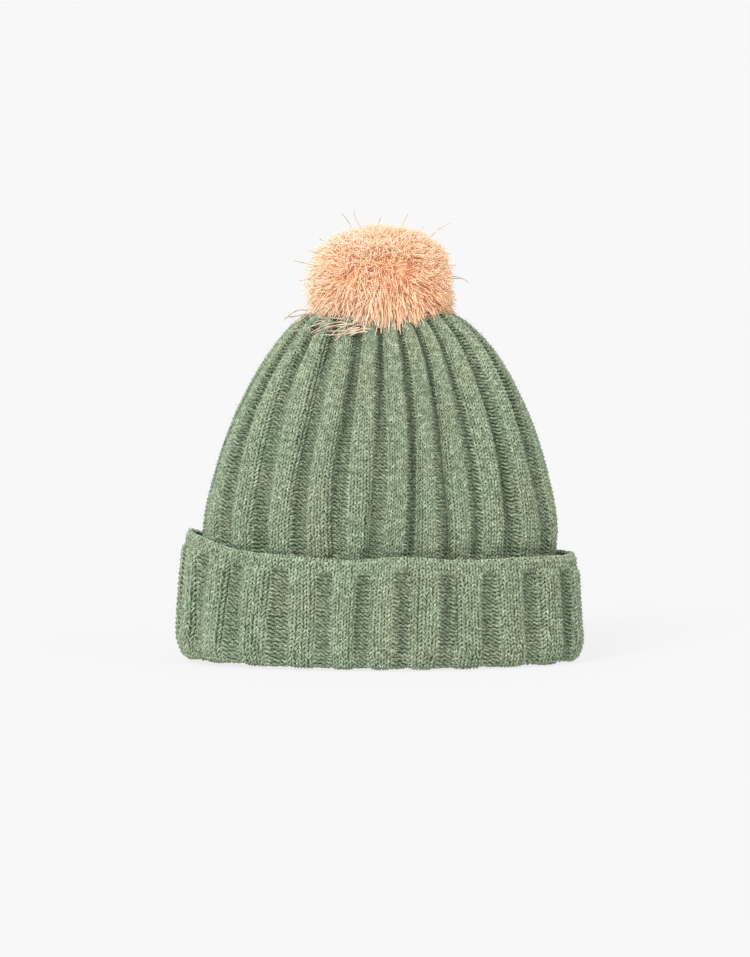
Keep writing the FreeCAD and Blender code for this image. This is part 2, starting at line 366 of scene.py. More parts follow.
def yarns(name, paths, radius, material, sides=4, closed=True, thick=None, columns=1, **notes):
    """A piece of yarns, one along each row of paths; notes are values kept on its points."""
    strands, count = paths.shape[:2]
    first = np.arange(strands * count).reshape(strands, count)
    after = np.roll(first, -1, axis=1)
    if not closed:
        first, after = first[:, :-1], after[:, :-1]
    mesh = bpy.data.meshes.new(name)
    mesh.vertices.add(strands * count)
    mesh.vertices.foreach_set("co", paths.reshape(-1).astype(np.float32))
    mesh.edges.add(first.size)
    ends = np.stack([first.ravel(), after.ravel()], -1)
    mesh.edges.foreach_set("vertices", ends.ravel().astype(np.int32))
    notes["thick"] = np.ones((strands, count)) if thick is None else thick
    for label, values in notes.items():
        values = np.broadcast_to(values, (strands, count)).astype(np.float32)
        mesh.attributes.new(label, "FLOAT", "POINT").data.foreach_set("value", values.ravel())
    mesh.update()
    piece = grow(name, mesh, spin_yarn, Radius=radius, Sides=sides, Material=material)
    wrap(piece.data, strands, count, sides, columns)
    return piece


def skin(name, near, far, closed, material):
    """A thin closed sheet between two grids of points, rows by columns by three."""
    rows, columns = near.shape[:2]
    grid = np.arange(rows * columns).reshape(rows, columns)
    right = np.roll(grid, -1, axis=1)
    if not closed:
        right = right[:, :-1]
    left = grid[:, :right.shape[1]]
    back = rows * columns
    quads = [np.stack([left[:-1], right[:-1], right[1:], left[1:]], -1).reshape(-1, 4)]
    quads.append(quads[0][:, ::-1] + back)
    for row, flip in ((0, False), (-1, True)):
        edge = np.stack([right[row], left[row], left[row] + back, right[row] + back], -1)
        quads.append(edge[:, ::-1] if flip else edge)
    if not closed:
        for column, flip in ((0, True), (-1, False)):
            a, b = grid[:-1, column], grid[1:, column]
            edge = np.stack([b, a, a + back, b + back], -1)
            quads.append(edge[:, ::-1] if flip else edge)
    mesh = bpy.data.meshes.new(name)
    points = np.concatenate([near.reshape(-1, 3), far.reshape(-1, 3)])
    mesh.from_pydata(points.tolist(), [], np.concatenate(quads).tolist())
    mesh.shade_smooth()
    mesh.materials.append(material)
    piece = bpy.data.objects.new(name, mesh)
    bpy.context.scene.collection.objects.link(piece)
    return piece


def finish_of(name, roughness, sheen, sheen_tint):
    """A new material: itself, its shader, and a Wire to build its patterns from."""
    material = bpy.data.materials.new(name)
    material.use_nodes = True
    shader = material.node_tree.nodes["Principled BSDF"]
    shader.inputs["Roughness"].default_value = roughness
    shader.inputs["Sheen Weight"].default_value = sheen
    shader.inputs["Sheen Roughness"].default_value = 0.5
    shader.inputs["Sheen Tint"].default_value = (*sheen_tint, 1)
    shader.inputs["Specular IOR Level"].default_value = 0.2
    return material, shader, Wire(material.node_tree)


def feed(shader, **wires):
    """Link wires to a shader's sockets of those names."""
    for label, wire in wires.items():
        wire.tree.links.new(wire.socket, shader.inputs[label.replace("_", " ")])


def noise(wire, place, scale, detail=2.0):
    return wire.node("ShaderNodeTexNoise", {},
                     {"Vector": place, "Scale": scale, "Detail": detail}, "Fac")


def tinted(wire, colour, tint):
    return wire.node("ShaderNodeMix", {"data_type": "RGBA", "blend_type": "MULTIPLY"},
                     {"Factor": 1.0, "A": colour, "B": tint}, 2)


heather, heather_shader, wool = finish_of("heathered_sage_wool", 0.9, 0.2, (0.75, 0.85, 0.68))
wool_place = wool.node("ShaderNodeTexCoord", output="Object")
fleck = noise(wool, wool_place, 1400.0)
clump = noise(wool, wool_place, 420.0)
cloud = noise(wool, wool_place, 38.0)
marl = wool.node("ShaderNodeValToRGB", {"stops": (
    (0.34, (0.080, 0.115, 0.064)),
    (0.50, (0.198, 0.246, 0.160)),
    (0.64, (0.440, 0.490, 0.370)))}, {"Fac": fleck * 0.6 + clump * 0.4})
hue = wool.node("ShaderNodeValToRGB", {"stops": (
    (0.30, (0.94, 1.01, 0.99)), (0.50, (1.0, 1.0, 1.0)), (0.70, (1.03, 1.0, 0.96)))},
    {"Fac": cloud})
fuzz_bump = wool.node("ShaderNodeBump", {},
                      {"Strength": 0.4, "Distance": 0.0003, "Height": fleck})
# painted shade: the wool is coloured darker in the channels between the ribs and above the
# turn-up's rim, and a little lighter on the ribs
painted_shade_mask = wool.node("ShaderNodeAttribute", {"attribute_name": "valley"}, output="Fac")
channel_painted_shade = wool.node("ShaderNodeValToRGB", {"stops": (
    (0.0, (1.06, 1.06, 1.06)), (1.0, (0.80, 0.81, 0.79)))}, {"Fac": painted_shade_mask})
feed(heather_shader, Base_Color=tinted(wool, tinted(wool, marl, hue), channel_painted_shade),
     Normal=fuzz_bump)

# painted shade: the knit's middle is coloured near black, for the shade seen between the loops
painted_shade_ground, ground_shader, depth = finish_of("knit_ground_painted_shade", 0.95, 0.0, (1, 1, 1))
shadow = noise(depth, depth.node("ShaderNodeTexCoord", output="Object"), 900.0)
feed(ground_shader, Base_Color=depth.node("ShaderNodeValToRGB", {"stops": (
    (0.35, (0.030, 0.042, 0.022)), (0.65, (0.085, 0.110, 0.065)))}, {"Fac": shadow}))

# single wool hairs that stand off the yarn: each a bent, tapering curve, turned at random
fibre_tree, given = geometry_tree(
    "loose_fibres", Density="Float", Length="Float", Radius="Float", Seed="Int",
    Material="Material")
spots = given["Geometry"].node("GeometryNodeDistributePointsOnFaces", {}, {
    "Mesh": given["Geometry"], "Density": given["Density"], "Seed": given["Seed"]})
upright = Wire(fibre_tree, spots.socket.node.outputs["Rotation"])
tumble = spots.node("FunctionNodeRandomValue", {"data_type": "FLOAT_VECTOR"}, {
    "Min": (-1.1, -1.1, -3.1), "Max": (1.1, 1.1, 3.1), "Seed": given["Seed"]})
tumble = spots.node("FunctionNodeEulerToRotation", {}, {"Euler": tumble})
tumble = spots.node("FunctionNodeRotateRotation", {"rotation_space": "LOCAL"},
                    {"Rotation": upright, "Rotate By": tumble})
stretch = spots.node("FunctionNodeRandomValue", {"data_type": "FLOAT"},
                     {2: 0.35, 3: 1.0, "Seed": given["Seed"]}, 1)
hair = spots.node("GeometryNodeCurveQuadraticBezier", {}, {
    "Resolution": 3, "Start": (0, 0, 0), "Middle": (0.1, 0, 0.6), "End": (0.5, 0.1, 0.9)})
hair_ring = spots.node("GeometryNodeCurvePrimitiveCircle", {}, {"Radius": 1.0, "Resolution": 3})
taper = spots.node("GeometryNodeSplineParameter")
hair = spots.node("GeometryNodeCurveToMesh", {}, {
    "Curve": hair, "Profile Curve": hair_ring, "Fill Caps": True,
    "Scale": given["Radius"] * (1.0 - taper * 0.8)})
hairs = spots.node("GeometryNodeInstanceOnPoints", {}, {
    "Points": spots, "Instance": hair, "Rotation": tumble,
    "Scale": stretch * given["Length"]})
close_tree(fibre_tree, hairs, given["Material"])


def ground_of(name, cloth, low, high, rows, body, node):
    """The middle of the knit, a sheet painted dark as the shade between the loops, and a mesh of
    its face for loose fibres to grow on.
    """
    columns = RIBS * 8
    along = np.linspace(low, high, rows)[:, None] + np.zeros(columns)
    share = (np.arange(columns) / columns)[None, :] + np.zeros((rows, 1))
    point, tilt, _ = fabric(cloth, along, share)
    piece = skin(name, point + tilt * 0.0001, point - tilt * 0.0003, True, painted_shade_ground)
    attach(piece, body)
    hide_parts(node)
    face = bpy.data.meshes.new(name + "_face")
    grid = np.arange(rows * columns).reshape(rows, columns)
    right = np.roll(grid, -1, axis=1)
    quads = np.stack([grid[:-1], right[:-1], right[1:], grid[1:]], -1).reshape(-1, 4)
    face.from_pydata((point + tilt * YARN_RADIUS).reshape(-1, 3).tolist(), [], quads.tolist())
    return face


FIBRES_PER_SQUARE_METRE = 90000.0
FIBRE_LENGTH = 0.0034
FIBRE_RADIUS = 0.026  # as a share of its length


def loose_fibres(name, face, seed, body, node):
    """Wool hairs all over a piece of knit, the lowest ones flattened by what it stands on."""
    piece = grow(name, face, fibre_tree, Density=FIBRES_PER_SQUARE_METRE, Length=FIBRE_LENGTH,
                 Radius=FIBRE_RADIUS, Seed=seed, Material=heather)
    corners = np.empty(len(piece.data.vertices) * 3, np.float32)
    piece.data.vertices.foreach_get("co", corners)
    corners[2::3] = np.maximum(corners[2::3], foot + 0.0001)
    piece.data.vertices.foreach_set("co", corners)
    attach(piece, body)
    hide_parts(node)


def knitted(name, cloth, courses, per_piece, sides, seed, body, node):
    """The yarns of some courses, in pieces of so many courses each."""
    paths, thick, valley = knit(cloth, courses, seed)
    for number, start in enumerate(range(0, len(courses), per_piece)):
        rows = slice(start, start + per_piece)
        piece = yarns("%s_%d" % (name, number + 1), paths[rows], YARN_RADIUS, heather,
                      sides=sides, thick=thick[rows], valley=valley[rows])
        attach(piece, body)
        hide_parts(node)


# places up the crown's wall: the turn-up's rim, the shoulder, the edge of the dished top
collar = length_of(crown_line[:3])
shoulder = length_of(crown_line[:7])
lip = length_of(crown_line[:10])
crown_end = length_of(crown_line)

# slow waves over the knit: the wales shift sideways, and the ribs' height changes
waver = sways(14, 0.0026, 7, 0.11)
uneven = sways(21, 0.16, 9, 0.12)


def pleats(along, share):
    """Where the ribs are pushed together, at the right of the front."""
    return hump(share, 0.59, 0.18) * ease(along, collar - 0.03, collar + 0.02)


def crowded(along, share):
    """The wales are spread at the left of the front and pushed together right of its middle."""
    moved = (0.10 * gained(share, 0.32, 0.12) - 0.20 * gained(share, 0.56, 0.12)
             + 0.16 * gained(share, 0.70, 0.09))
    return moved * ease(along, collar - 0.03, collar + 0.005) + waver(along, share)


def crown_relief(along, share):
    """The ribs are flat inside the turn-up, low at the sides, and deepest at the shoulder."""
    deep = 0.0024 + 0.0006 * ease(along, collar, shoulder) + 0.0006 * pleats(along, share)
    sides = hump(share, 0.25, 0.07) + hump(share, 0.75, 0.07)
    deep = deep * (1 + uneven(along, share)) * (1 - 0.55 * sides)
    above_band = ease(along, collar - 0.03, collar + 0.01)
    return deep * above_band * (1 - 0.6 * ease(along, lip - 0.01, lip + 0.02)) + 0.0004


def slump(along, share):
    """The empty crown slumps a little to one side."""
    over = 0.0013 * ease(along, collar, shoulder) * (1 - ease(along, shoulder, lip))
    return np.stack([over + 0 * share, 0 * share, 0 * share], -1)


# a cloth's levels; where its ribs start, and which way its loops point; how the ribs stray,
# how high and how wide they are; how the wales shift; where it has no ribs; how it hangs off
# its oval; and where a shadow is painted on it above the turn-up's rim
crown = SimpleNamespace(
    line=crown_line, phase=11.16, up=1,
    wander=sways(3, 0.07, 7, 0.10),
    relief=crown_relief,
    width=lambda along, share: (
        0.575 + 0.10 * ease(along, collar, lip) + 0.20 * pleats(along, share)),
    warp=crowded,
    plain=lambda along: 0 * along,
    drape=slump,
    # painted shadow: the crown's colour is darkened in a band just above the turn-up's rim
    pressed=lambda along: 1.3 * hump(along - collar, 0.001, 0.006),
)
inner_courses = np.arange(0, collar - 0.012, COURSE)
outer_courses = np.arange(inner_courses[-1] + COURSE, lip + 0.002, COURSE)
dish_courses = np.arange(outer_courses[-1] + COURSE, crown_end, COURSE)
knitted("inner_band_knit", crown, inner_courses, 13, 3, 31, "crown", "crown_shell")
knitted("crown_knit", crown, outer_courses, 19, 4, 32, "crown", "crown_shell")
knitted("gathered_knit", crown, dish_courses, 26, 3, 33, "crown", "crown_shell")
crown_face = ground_of("crown_ground", crown, 0, crown_end, 60, "crown", "crown_shell")
loose_fibres("crown_fibres", crown_face, 5, "crown", "crown_shell")

# ----------------------------------------
# Turn-up: the lower end of the same tube, folded up outside the band, so its loops hang
# upside down. Its free edge rolls in a little, and the ribs run out before it.
def cuff_level(inset, height):
    """A level of the turn-up: so far inside its CAD face, at a height."""
    return (cuff_high.x - inset, cuff_high.y - inset, height)


cuff_line = np.array([
    cuff_level(0.0110, 0.0064),
    cuff_level(0.0096, 0.0036),
    cuff_level(0.0056, 0.0024),
    cuff_level(0.0030, 0.0027),
    cuff_level(0.0020, 0.0052),
    cuff_level(0.0025, 0.0200),
    cuff_level(0.0034, 0.0400),
    cuff_level(0.0040, rim - 0.0070),
    cuff_level(0.0041, rim - 0.0034),
    cuff_level(0.0052, rim - 0.0012),
    cuff_level(0.0064, rim - 0.0016),
])
cuff_end = length_of(cuff_line)
rim_wave = sways(17, 0.0007, 9, 0.3)


def raised_corner(along, share):
    """The turn-up is pulled up at the left and sits a little low at the right."""
    climb = ease(along, 0.010, cuff_end - 0.008)
    lift = (0.0105 * hump(share, 0.25, 0.13) - 0.0022 * hump(share, 0.74, 0.14)) * climb
    lift = lift + rim_wave(along, share) * climb + 0.0014 * hump(share, 0.28, 0.22)
    tuck = 0.0014 * hump(share, 0.25, 0.10) * climb**2
    return np.stack([tuck, 0 * lift, lift], -1)


def cuff_relief(along, share):
    """The ribs rise out of the fold, and run out before the rim."""
    deep = 0.0027 * (0.15 + 0.85 * ease(along, 0.009, 0.024))
    deep = deep * (1 - ease(along, cuff_end - 0.0115, cuff_end - 0.0065))
    return deep * (1 + uneven(along, share))


def cuff_warp(along, share):
    """The wales crowd to the sides, and slant at the left of the front."""
    return (-0.08 * np.sin(4 * math.pi * share) / (4 * math.pi)
            - 0.006 * hump(share, 0.33, 0.14) * (1 - ease(along, 0, cuff_end))
            + waver(along, share))


cuff = SimpleNamespace(
    line=cuff_line, phase=11.113, up=-1,
    wander=sways(8, 0.06, 7, 0.1),
    relief=cuff_relief,
    width=lambda along, share: 0.60 + 0 * along,
    warp=cuff_warp,
    plain=lambda along: ease(along, cuff_end - 0.0105, cuff_end - 0.0070),
    drape=raised_corner,
    pressed=lambda along: 0 * along,
)
cuff_courses = np.arange(0, cuff_end, COURSE)
knitted("cuff_knit", cuff, cuff_courses, 18, 4, 41, "cuff", "turn_up_cuff")
cuff_face = ground_of("cuff_ground", cuff, 0, cuff_end, 30, "cuff", "turn_up_cuff")
loose_fibres("cuff_fibres", cuff_face, 6, "cuff", "turn_up_cuff")

# ----------------------------------------
# Back seam: the two edges of the knit are linked by a chain of loops of the same wool,
# which lies as a ridge up the inside of the back.
seam_low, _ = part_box("back_seam")
SEAM_PITCH = 0.0030
SEAM_SWING = 0.0021
SEAM_STEPS = 10
SEAM_DEPTH = 0.0034
SEAM_RADIUS = 0.0008
seam_from = seam_low.z - foot + 0.002
seam_loops = int((shoulder - seam_from) / SEAM_PITCH)
t = np.arange(seam_loops * SEAM_STEPS) * 2 * math.pi / SEAM_STEPS
seam_rows = []
for start in (0, math.pi):
    climb = seam_from + SEAM_PITCH * (t / (2 * math.pi) + 0.16 * np.sin(2 * t + start))
    point, out, side = on_oval(crown_line, 0 * t, climb)
    sway = SEAM_SWING * np.sin(t + start)
    inward = SEAM_DEPTH + 0.0006 * np.cos(2 * t + start)
    seam_rows.append(point + side * sway[:, None] - out * inward[:, None])
seam = yarns("linked_back_seam", np.array(seam_rows), SEAM_RADIUS, heather, sides=6,
             closed=False)
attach(seam, "crown")
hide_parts("back_seam")

# ----------------------------------------
# Gather yarn: two plies of peach yarn drawn through the last loops of the crown, which
# close it to a small hole.
tie_dye, tie_shader, ply = finish_of("peach_tie_yarn", 0.85, 0.25, (1.0, 0.85, 0.7))
strand = noise(ply, ply.node("ShaderNodeTexCoord", output="Object"), 1500.0)
feed(tie_shader, Base_Color=ply.node("ShaderNodeValToRGB", {"stops": (
    (0.35, (0.58, 0.26, 0.12)), (0.65, (0.88, 0.52, 0.30)))}, {"Fac": strand}),
    Normal=ply.node("ShaderNodeBump", {}, {
        "Strength": 0.5, "Distance": 0.0003, "Height": strand}))


def plies(line, closed, count, offset, pitch):
    """Yarns that twist round a line of points, as the plies of one thicker yarn do."""
    ahead = np.roll(line, -1, axis=0) - np.roll(line, 1, axis=0)
    if not closed:
        ahead[0], ahead[-1] = line[1] - line[0], line[-1] - line[-2]
    ahead /= np.linalg.norm(ahead, axis=1, keepdims=True)
    across = np.cross(ahead, (0.31, 0.52, 0.79))
    across /= np.linalg.norm(across, axis=1, keepdims=True)
    other = np.cross(ahead, across)
    steps = np.linalg.norm(np.roll(line, -1, axis=0) - line, axis=1)
    gone = np.concatenate([[0], np.cumsum(steps[:-1])])
    whole = gone[-1] + (steps[-1] if closed else 0)
    turns_made = max(1, round(whole / pitch))
    rows = []
    for number in range(count):
        angle = 2 * math.pi * (turns_made * gone / whole + number / count)
        rows.append(line + offset * (across * np.cos(angle)[:, None]
                                     + other * np.sin(angle)[:, None]))
    return np.array(rows)


gather_low, gather_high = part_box("gather_yarn")
yarn_half = (gather_high.z - gather_low.z) / 2
t = np.linspace(0, 2 * math.pi, 96, endpoint=False)
gather_ring = np.stack([
    (gather_high.x - yarn_half) * np.cos(t), (gather_high.y - yarn_half) * np.sin(t),
    (gather_low.z + gather_high.z) / 2 + 0.0003 * np.sin(5 * t)], -1)
gather = yarns("drawn_gather_yarn", plies(gather_ring, True, 2, yarn_half * 0.48, 0.006),
               yarn_half * 0.55, tie_dye, sides=8)
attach(gather, "crown")
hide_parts("gather_yarn")

# ----------------------------------------
# Anchor knot: the tie's two ends, knotted under the hole so that the pom pom can't pull
# out, with two short frayed tails.
knot_low, knot_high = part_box("anchor_knot")
knot_half = (knot_high.y - knot_low.y) / 2
knot_middle = knot_high.z - knot_half
t = np.linspace(0, 2 * math.pi, 120, endpoint=False)
knot_line = np.stack([
    np.sin(t) + 2 * np.sin(2 * t), np.cos(t) - 2 * np.cos(2 * t), -1.6 * np.sin(3 * t)], -1)
knot_line = knot_line * knot_half * 0.23 + (0, 0, knot_middle)
knot = yarns("tied_anchor_knot", plies(knot_line, True, 2, knot_half * 0.15, 0.008),
             knot_half * 0.19, tie_dye, sides=8)
TAIL_HAIRS = 14
TAIL_RADIUS = 0.0004
t = np.linspace(0, 1, 8)
tail_rows = []
draw = np.random.default_rng(12)
for side_of in (-1, 1):
    end = np.array([side_of * (knot_high.x - 0.001), 0, knot_low.z + 0.0006])
    start = np.array([side_of * 0.001, 0, knot_middle - knot_half * 0.4])
    for _ in range(TAIL_HAIRS):
        spread = draw.normal(0, 1, 3) * (0.0009, 0.0009, 0.0004)
        line = start + (end - start) * t[:, None] + spread * (0.35 + t[:, None])
        tail_rows.append(line + 0.0003 * np.sin(9 * t[:, None] + draw.uniform(0, 6, 3)))
tails = yarns("frayed_knot_tails", np.array(tail_rows), TAIL_RADIUS, tie_dye, sides=4,
              closed=False, thick=1.1 - 0.6 * t, columns=7)
for piece in (knot, tails):
    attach(piece, "knot")
    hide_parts("anchor_knot")

# ----------------------------------------
# Shank: the tie's two ends run side by side from the pom pom's waist down through the
# drawn hole, with a slack twist.
shank_low, shank_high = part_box("pom_shank")
t = np.linspace(0, 1, 40)
shank_line = np.stack([0 * t, 0 * t, shank_low.z + (shank_high.z - shank_low.z) * t], -1)
shank = yarns("twisted_shank", plies(shank_line, False, 2, shank_high.x * 0.48, 0.014),
              shank_high.x * 0.5, tie_dye, sides=8, closed=False)
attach(shank, "shank")
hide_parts("pom_shank")

# ----------------------------------------
# Waist tie: yarn wound tight round the middle of the strands, in several turns.
waist_low, waist_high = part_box("pom_waist_tie")
waist_half = (waist_high.z - waist_low.z) / 2
WINDS = 11
t = np.linspace(0, 2 * math.pi, 480, endpoint=False)
bulge = waist_high.x - waist_half + waist_half * 0.62 * np.cos(WINDS * t)
waist_line = np.stack([
    bulge * np.cos(t), bulge * np.sin(t),
    waist_low.z + waist_half + waist_half * 0.62 * np.sin(WINDS * t)], -1)
waist = yarns("wound_waist_tie", waist_line[None], waist_half * 0.38, tie_dye, sides=6)
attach(waist, "pom")
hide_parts("pom_waist_tie")

# ----------------------------------------
# Pom pom: thousands of cut strands of peach acrylic yarn, tied at the middle and trimmed
# to a squat ball. They fan out in tufts, droop over the crown, and a few stay long.
pom_low, pom_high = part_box("pom_tuft")
POM_STARS = 600
STAR_STRANDS = 21
STRAND = 0.0135
STRAND_RADIUS = 0.00030
STRAND_CURL = 0.0011
POM_STEPS = 5
POM_DROP = 0.0085
pom_reach = np.array([pom_high.x, pom_high.y, (pom_high.z - pom_low.z + POM_DROP) / 2])
pom_middle = np.array([0, 0, (pom_high.z + pom_low.z - POM_DROP) / 2])
draw = np.random.default_rng(7)


def scattered(count, jitter):
    """Directions spread evenly over a ball, each a little astray."""
    number = np.arange(count) + 0.5
    height = 1 - 2 * number / count
    angle = math.pi * (1 + 5 ** 0.5) * number
    flat = np.sqrt(1 - height**2)
    spots = np.stack([flat * np.cos(angle), flat * np.sin(angle), height], -1)
    spots = spots + draw.normal(0, jitter, spots.shape)
    return spots / np.linalg.norm(spots, axis=1, keepdims=True)


def crown_top(x, y):
    """The height of the crown's outside at places seen from above."""
    levels, _ = through(crown_line, np.linspace(crown_end, collar, 160))
    size = (np.hypot(x[:, None] / (levels[:, 0] + 0.003), y[:, None] / (levels[:, 1] + 0.003)))
    number = np.clip(np.argmax(size < 1, axis=1), 1, len(levels) - 1)
    rows = np.arange(len(x))
    a, b = size[rows, number - 1], size[rows, number]
    t = np.clip((a - 1) / np.maximum(a - b, 1e-9), 0, 1)
    return levels[number - 1, 2] * (1 - t) + levels[number, 2] * t + 0.0022


def above_crown(points, gap):
    """Points, with those that would be in the crown laid on it instead."""
    flat = points.reshape(-1, 3)
    height = crown_top(flat[:, 0], flat[:, 1]) + gap
    flat[:, 2] = np.where(flat[:, 2] < height, height + (flat[:, 2] - height) * 0.06, flat[:, 2])
    return flat.reshape(points.shape)


def ball(aim):
    """How far the trimmed ball reaches along each direction: squarer than an ellipsoid."""
    squareness = 2.6 - 0.35 * np.tanh(4 * aim[..., 2])
    lumps = 1 + 0.022 * np.sin(5 * aim[..., 0] + 1) * np.cos(6 * aim[..., 2] + 3 * aim[..., 1])
    flat = np.hypot(aim[..., 0] / pom_reach[0], aim[..., 1] / pom_reach[1])
    rise = np.abs(aim[..., 2] / pom_reach[2])
    return aim * (lumps * (flat**squareness + rise**squareness) ** (-1 / squareness))[..., None]


def unit(vectors):
    """Directions, each of length 1."""
    return vectors / np.linalg.norm(vectors, axis=-1, keepdims=True)


# the strands stand in stars, which lean away from the nearest of a few places where the
# pom pom parts; near these partings the strands are painted darker, as shade
BURSTS = unit(np.concatenate([
    [(0.28, -1.0, 0.12), (0.32, -0.8, -0.75), (-0.75, -0.9, 0.15)], scattered(9, 0.2)]))
star_aim = scattered(POM_STARS, 0.05)
closeness = star_aim @ BURSTS.T
near_burst = np.argmax(closeness, axis=1)
from_burst = np.arccos(np.clip(closeness.max(axis=1), -1, 1))
star_root = ball(star_aim) * draw.uniform(0.66, 0.80, (POM_STARS, 1))
star_lean = unit(star_aim + (star_aim - BURSTS[near_burst])
                 + draw.normal(0, 0.20, (POM_STARS, 3)))
star_size = draw.normal(1, 0.09, POM_STARS)
star = np.repeat(np.arange(POM_STARS), STAR_STRANDS)
count = len(star)
strand_aim = unit(star_lean[star] + draw.normal(0, 0.36, (count, 3)))
strand_length = STRAND * star_size[star] * draw.uniform(0.72, 1.1, count)
roots = star_root[star] + draw.normal(0, 0.0007, (count, 3))
ends = roots + strand_aim * strand_length[:, None]

# the trim: no strand ends much outside the ball
trim = ball(unit(ends)) * np.clip(draw.normal(0.98, 0.032, (count, 1)), 0.88, 1.08)
over = np.linalg.norm(ends, axis=1) / np.linalg.norm(trim, axis=1)
ends = ends / np.maximum(over, 1)[:, None]
tip = np.linspace(0, 1, POM_STEPS)
far = tip[None, :, None]
strands = roots[:, None, :] + (ends - roots)[:, None, :] * far
curl = draw.normal(0, STRAND_CURL, (count, 1, 3))
waves = draw.uniform(0.9, 2.2, (count, 1, 1))
begin = draw.uniform(0, 3, (count, 1, 1))
strands = strands + curl * np.sin(math.pi * far * waves + begin) * far

# the lower strands hang over the crown, most of all at the front
hanging = ease(-unit(ends)[:, 2], -0.30, 0.55)[:, None]
forward = hump(strands[:, -1, 0], 0.008, 0.034) * ease(-strands[:, -1, 1], 0.012, 0.030)
strands[..., 2] -= (0.0006 + hanging * (0.0045 + 0.0100 * forward[:, None])) * tip**2
strands[..., :2] *= (1 + 0.06 * hanging * tip**2)[..., None]
strands = above_crown(strands + pom_middle, 0.0006)

# how pale each strand is: by chance and by its star, with painted shade near the partings and a
# painted highlight on the side toward the window light
painted_light_side = 0.5 + 0.5 * unit(ends) @ unit(np.array([-0.75, -0.1, 0.6]))
paleness_and_painted_light = (0.26 * draw.uniform(0, 1, (count, 1))
            + 0.24 * draw.uniform(0, 1, POM_STARS)[star, None]
            + 0.24 * (1 - np.exp(-(from_burst[star] / 0.30) ** 2))[:, None]
            + 0.40 * painted_light_side[:, None])

peach, peach_shader, acrylic = finish_of("peach_acrylic_strands", 0.7, 0.5, (1.0, 0.90, 0.80))
peach_shader.inputs["Subsurface Weight"].default_value = 0.5
peach_shader.inputs["Subsurface Radius"].default_value = (1.0, 0.55, 0.35)
peach_shader.inputs["Subsurface Scale"].default_value = 0.003
along_strand = acrylic.node("ShaderNodeAttribute", {"attribute_name": "tip"}, output="Fac")
of_strand = acrylic.node("ShaderNodeAttribute", {"attribute_name": "shade"}, output="Fac")
mottle = noise(acrylic, acrylic.node("ShaderNodeTexCoord", output="Object"), 700.0)
# painted shade and highlight: the strands are coloured deep orange at their roots inside the ball
# and pale at their tips
pigment_and_glow = acrylic.node("ShaderNodeValToRGB", {"stops": (
    (0.12, (0.84, 0.29, 0.12)),
    (0.42, (0.92, 0.44, 0.22)),
    (0.66, (0.94, 0.56, 0.33)),
    (0.92, (0.95, 0.72, 0.53)))}, {"Fac": along_strand * 0.36 + of_strand * 0.50 + mottle * 0.18})
# painted light: the strands glow faintly in their own colour, for light scattered through the
# fibres
feed(peach_shader, Base_Color=pigment_and_glow, Emission_Color=pigment_and_glow)
peach_shader.inputs["Emission Strength"].default_value = 0.08
for number in range(2):
    half = slice(number, None, 2)
    tuft = yarns("pom_strands_%d" % (number + 1), strands[half], STRAND_RADIUS, peach, sides=3,
                 closed=False, thick=1.15 - 0.50 * tip**2, columns=80,
                 tip=tip, shade=paleness_and_painted_light[half])
    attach(tuft, "pom")
    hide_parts("pom_tuft")

# the strands' packed middles, a closed lump which the gaps between the tips show
HEART_SHARE = 0.75
core_mesh = bpy.data.meshes.new("pom_heart")
core_rows, core_columns = 24, 48
core_angle = np.linspace(0, math.pi, core_rows + 1)[1:-1]
core_turn = np.linspace(0, 2 * math.pi, core_columns, endpoint=False)
core = np.stack([
    np.sin(core_angle)[:, None] * np.cos(core_turn),
    np.sin(core_angle)[:, None] * np.sin(core_turn),
    np.cos(core_angle)[:, None] + 0 * core_turn], -1)
core = core * (1 + 0.05 * np.sin(9 * core_turn) * np.sin(6 * core_angle)[:, None])[..., None]
core_points = np.concatenate([core.reshape(-1, 3), [[0, 0, 1], [0, 0, -1]]])
core_points = core_points * pom_reach * HEART_SHARE
core_points = above_crown(core_points + pom_middle, 0.0048)
grid = np.arange((core_rows - 1) * core_columns).reshape(core_rows - 1, core_columns)
turned = np.roll(grid, -1, axis=1)
core_faces = np.stack([grid[:-1], grid[1:], turned[1:], turned[:-1]], -1).reshape(-1, 4).tolist()
head, tail = grid.size, grid.size + 1
core_faces += [(head, int(a), int(b)) for a, b in zip(grid[0], turned[0])]
core_faces += [(tail, int(b), int(a)) for a, b in zip(grid[-1], turned[-1])]
core_mesh.from_pydata(core_points.tolist(), [], core_faces)
core_mesh.shade_smooth()
heart, heart_shader, deep_dye = finish_of("deep_peach_heart", 0.9, 0.0, (1, 1, 1))
feed(heart_shader, Base_Color=deep_dye.node("ShaderNodeValToRGB", {"stops": (
    (0.35, (0.82, 0.42, 0.22)), (0.65, (0.93, 0.58, 0.36)))},
    {"Fac": noise(deep_dye, deep_dye.node("ShaderNodeTexCoord", output="Object"), 500.0)}))
# painted light: the heart glows faintly in deep peach, for light scattered through the packed
# strands
heart_shader.inputs["Emission Color"].default_value = (0.9, 0.46, 0.24, 1)
heart_shader.inputs["Emission Strength"].default_value = 0.15
core_mesh.materials.append(heart)
pom_heart = bpy.data.objects.new("pom_heart", core_mesh)
bpy.context.scene.collection.objects.link(pom_heart)

